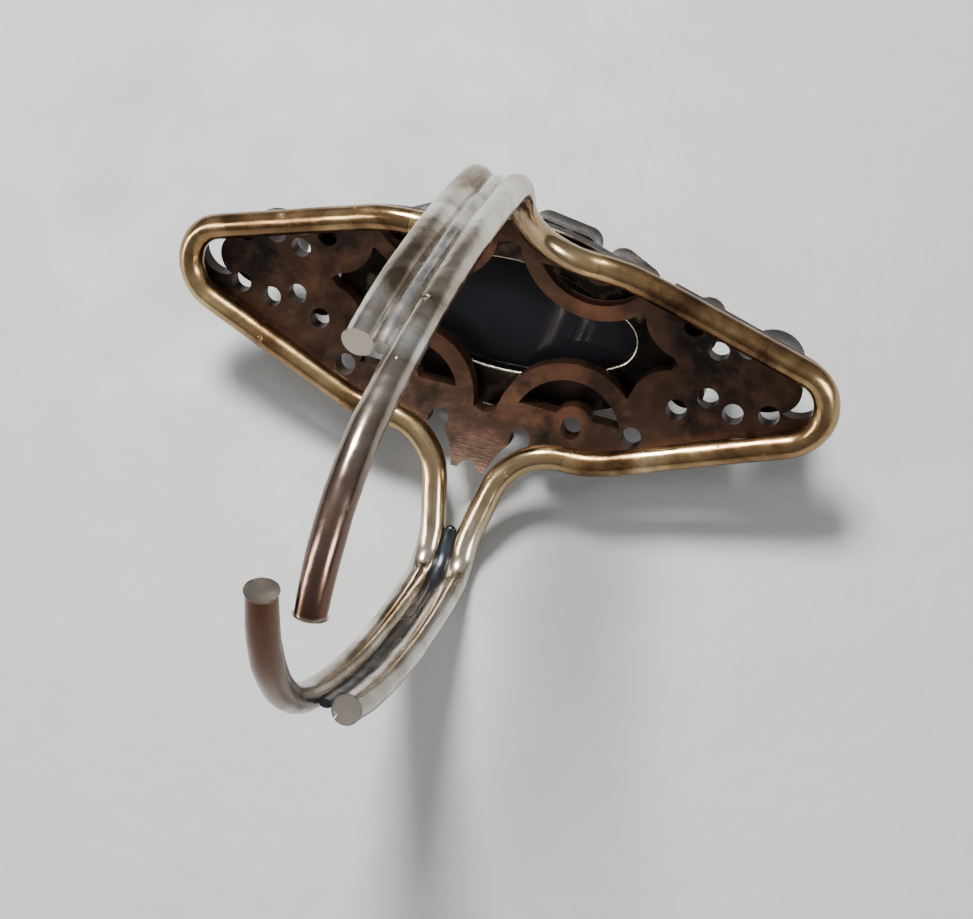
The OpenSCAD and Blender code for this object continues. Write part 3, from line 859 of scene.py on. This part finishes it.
class RING_OT_stones(PieceOperator, bpy.types.Operator):
    """Polished black stones with flat backs"""
    bl_idname = "ring.stones"
    bl_label = "Stones"

    def execute(self, context):
        s = sizes()
        gem = once("Polished black stone", black_stone)
        _, bed = bed_z()
        step = s.tray_ledge + s.bezel_t + SLACK
        rows = [(step, b, c) for _, b, c in stone_profile(s.bezel_h, s.stone_rise, 22)]
        put(carried(oval_point, rows, 192), "centre_stone_polished", "head", "centre_stone", gem,
            place=shifted(bed - SLACK), smooth=60)
        inset = s.bezel_t + SLACK
        width = s.tray_ledge - 2 * SLACK - 2 * inset
        for size, (x, half) in PETALS.items():
            for row, side in CORNERS:
                stone = carried(capsule_point(half - inset, width),
                                stone_profile(s.petal_h, s.dome_part * width / 2), 64)
                node = f"{size}_{row}_{side}_stone"
                put(stone, node + "_polished", "head", node, gem, mirror_x=side == "left",
                    place=shifted(bed - SLACK, on_ledge(x), row == "lower"), smooth=60)
        for name, spot, radius, height, side in round_settings():
            inner = radius - inset
            stone = carried(capsule_point(inner, 2 * inner),
                            stone_profile(height, s.dome_part * inner), 56)
            node = name + "_stone"
            put(stone, node + "_polished", "head", node, gem, mirror_x=side == "left",
                place=shifted(bed, Matrix.Translation((*spot, 0))), smooth=60)
        return {"FINISHED"}


LENS = 59.2           # mm on a 36 mm sensor
CAMERA_AT = (12.08, 26.05, 57.14)
CAMERA_AXES = ((0.9514, 0.1474, -0.2702), (-0.2549, 0.8693, -0.4234), (0.1725, 0.4718, 0.8647))


def soft_box(name, spot, aim, size, power, tint=(1, 1, 1)):
    lamp = bpy.data.lights.new(name, "AREA")
    lamp.shape = "RECTANGLE"
    lamp.size, lamp.size_y = size
    lamp.energy = power
    lamp.color = tint
    box = bpy.data.objects.new(name, lamp)
    box.location = spot
    box.rotation_euler = (Vector(aim) - Vector(spot)).to_track_quat("-Z", "Y").to_euler()
    bpy.context.collection.objects.link(box)


class RING_OT_stage(PieceOperator, bpy.types.Operator):
    """Floor, soft boxes and camera"""
    bl_idname = "ring.stage"
    bl_label = "Stage"

    def execute(self, context):
        bm = bmesh.new()
        bmesh.ops.create_grid(bm, x_segments=2, y_segments=2, size=1.2)
        mesh = bpy.data.meshes.new("floor")
        bm.to_mesh(mesh)
        bm.free()
        floor = bpy.data.objects.new("floor", mesh)
        bpy.context.collection.objects.link(floor)
        mesh.materials.append(once("Pale paper", floor_paper))
        floor.location.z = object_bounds()[0][2]
        floor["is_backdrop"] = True
        soft_box("Key", (-0.09, 0.13, 0.26), (0, 0, 0.01), (0.09, 0.07), 2.9)
        soft_box("Fill", (0.26, -0.10, 0.16), (0, 0, 0.01), (0.12, 0.08), 0.7)
        soft_box("Strip", (-0.24, -0.12, 0.12), (0, 0, 0.01), (0.05, 0.24), 0.8, (1, 0.97, 0.92))
        world = bpy.data.worlds.new("Studio")
        context.scene.world = world
        world.use_nodes = True
        sky = world.node_tree.nodes["Background"]
        shade = world.node_tree.nodes.new("ShaderNodeTexCoord")
        split = world.node_tree.nodes.new("ShaderNodeSeparateXYZ")
        ramp = world.node_tree.nodes.new("ShaderNodeValToRGB")
        ramp.color_ramp.elements[0].position = 0.10
        ramp.color_ramp.elements[0].color = (0.38, 0.38, 0.39, 1)
        ramp.color_ramp.elements[1].position = 0.85
        ramp.color_ramp.elements[1].color = (0.95, 0.96, 0.98, 1)
        world.node_tree.links.new(shade.outputs["Generated"], split.inputs["Vector"])
        world.node_tree.links.new(split.outputs["Z"], ramp.inputs["Fac"])
        world.node_tree.links.new(ramp.outputs["Color"], sky.inputs["Color"])
        sky.inputs["Strength"].default_value = 0.50
        head = head_matrix()
        turn = head.to_3x3().normalized() @ Matrix(CAMERA_AXES).transposed()
        lens = bpy.data.cameras.new("Camera")
        lens.lens = LENS
        lens.clip_start = 0.002
        camera = bpy.data.objects.new("Camera", lens)
        camera.matrix_world = Matrix.Translation(head @ Vector(CAMERA_AT)) @ turn.to_4x4()
        bpy.context.collection.objects.link(camera)
        context.scene.camera = camera
        return {"FINISHED"}


class RING_PT_panel(bpy.types.Panel):
    """Buttons for the ring's pieces"""
    bl_idname = "RING_PT_panel"
    bl_label = "Cocktail Ring"
    bl_space_type = "VIEW_3D"
    bl_region_type = "UI"
    bl_category = "Ring"

    def draw(self, context):
        for step in STEPS:
            self.layout.operator(step.bl_idname)


STEPS = (RING_OT_plate, RING_OT_tray, RING_OT_frame, RING_OT_shank, RING_OT_solder,
         RING_OT_settings, RING_OT_stones, RING_OT_stage)
CLASSES = (RING_PG_sizes, RING_PG_colours, *STEPS, RING_PT_panel)


def register():
    for cls in CLASSES:
        bpy.utils.register_class(cls)
    bpy.types.Scene.ring_sizes = PointerProperty(type=RING_PG_sizes)
    bpy.types.Scene.ring_colours = PointerProperty(type=RING_PG_colours)


def unregister():
    del bpy.types.Scene.ring_colours
    del bpy.types.Scene.ring_sizes
    for cls in reversed(CLASSES):
        bpy.utils.unregister_class(cls)


def main():
    register()
    for step in STEPS:
        group, name = step.bl_idname.split(".")
        getattr(getattr(bpy.ops, group), name)()


if __name__ == "__main__":
    main()
